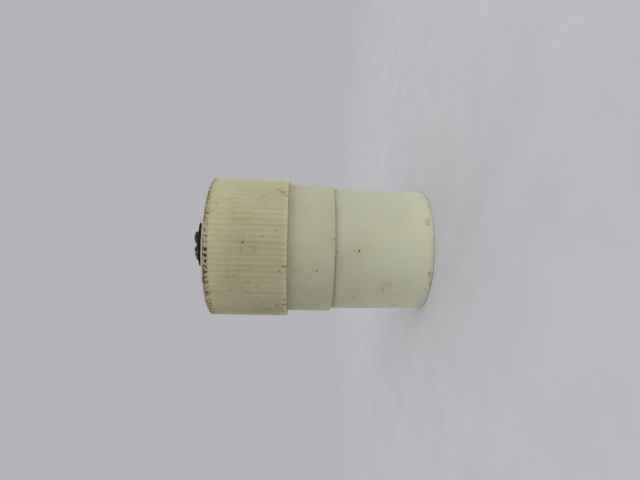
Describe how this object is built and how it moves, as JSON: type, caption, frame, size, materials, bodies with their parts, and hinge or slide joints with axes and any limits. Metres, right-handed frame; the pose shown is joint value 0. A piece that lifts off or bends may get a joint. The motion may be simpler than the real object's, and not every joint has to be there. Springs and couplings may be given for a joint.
{
  "type": "locking connector",
  "caption": "Locking cord connector with a slotted nylon barrel, collar and a ribbed clamp nut on a cut cord.",
  "frame": {"origin": "centre of the flat mating face, on which the connector stands", "axes": "+Z along the connector's axis, from the mating face to the cable end; +Y through the middle of the ground slot"},
  "size_m": [0.05, 0.05, 0.0827],
  "materials": {
    "housing_nylon": "aged natural nylon, dull",
    "collar_nylon": "aged natural nylon, dull",
    "nut_nylon": "yellowed nylon, dull, dirt in the grooves",
    "block_plastic": "moulded, dull",
    "brass": "formed sheet",
    "green_screw": "green finish",
    "brass_screw": "turned",
    "nickel_screw": "nickel plated",
    "plate_brass": "stamped",
    "steel_screw": "zinc plated",
    "bushing_rubber": "moulded",
    "washer_steel": "stamped",
    "jacket_rubber": "dusty, cut edge",
    "filler_fibre": "browned paper and jute",
    "green_insulation": "dull",
    "black_insulation": "dull",
    "white_insulation": "dull",
    "copper": "stranded copper, tarnished"
  },
  "bodies": {
    "housing": {"front_housing": "housing_nylon", "rear_housing": "collar_nylon", "contact_block": "block_plastic", "ground_contact": "brass", "line_contact": "brass", "neutral_contact": "brass", "ground_terminal_screw": "green_screw", "line_terminal_screw": "brass_screw", "neutral_terminal_screw": "nickel_screw", "ground_pressure_plate": "plate_brass", "line_pressure_plate": "plate_brass", "neutral_pressure_plate": "plate_brass", "body_screws": "steel_screw", "grip_bushing": "bushing_rubber", "cord_jacket": "jacket_rubber", "cord_filler": "filler_fibre", "ground_insulation": "green_insulation", "line_insulation": "black_insulation", "neutral_insulation": "white_insulation", "ground_strand": "copper", "line_strand": "copper", "neutral_strand": "copper"},
    "washer": {"thrust_washer": "washer_steel"},
    "nut": {"clamp_nut": "nut_nylon"}
  },
  "joints": [
    {"name": "nut_travel", "type": "slide", "parent": "housing", "child": "washer", "axis": [0, 0, 1], "range_m": [0, 0.006]},
    {"name": "nut_turn", "type": "hinge", "parent": "washer", "child": "nut", "pos_m": [0, 0, 0], "axis": [0, 0, 1], "range_deg": [0, 720]}
  ],
  "couplings": [
    {"joint": "nut_travel", "follows": "nut_turn", "m_per_rad": 0.000477}
  ]
}
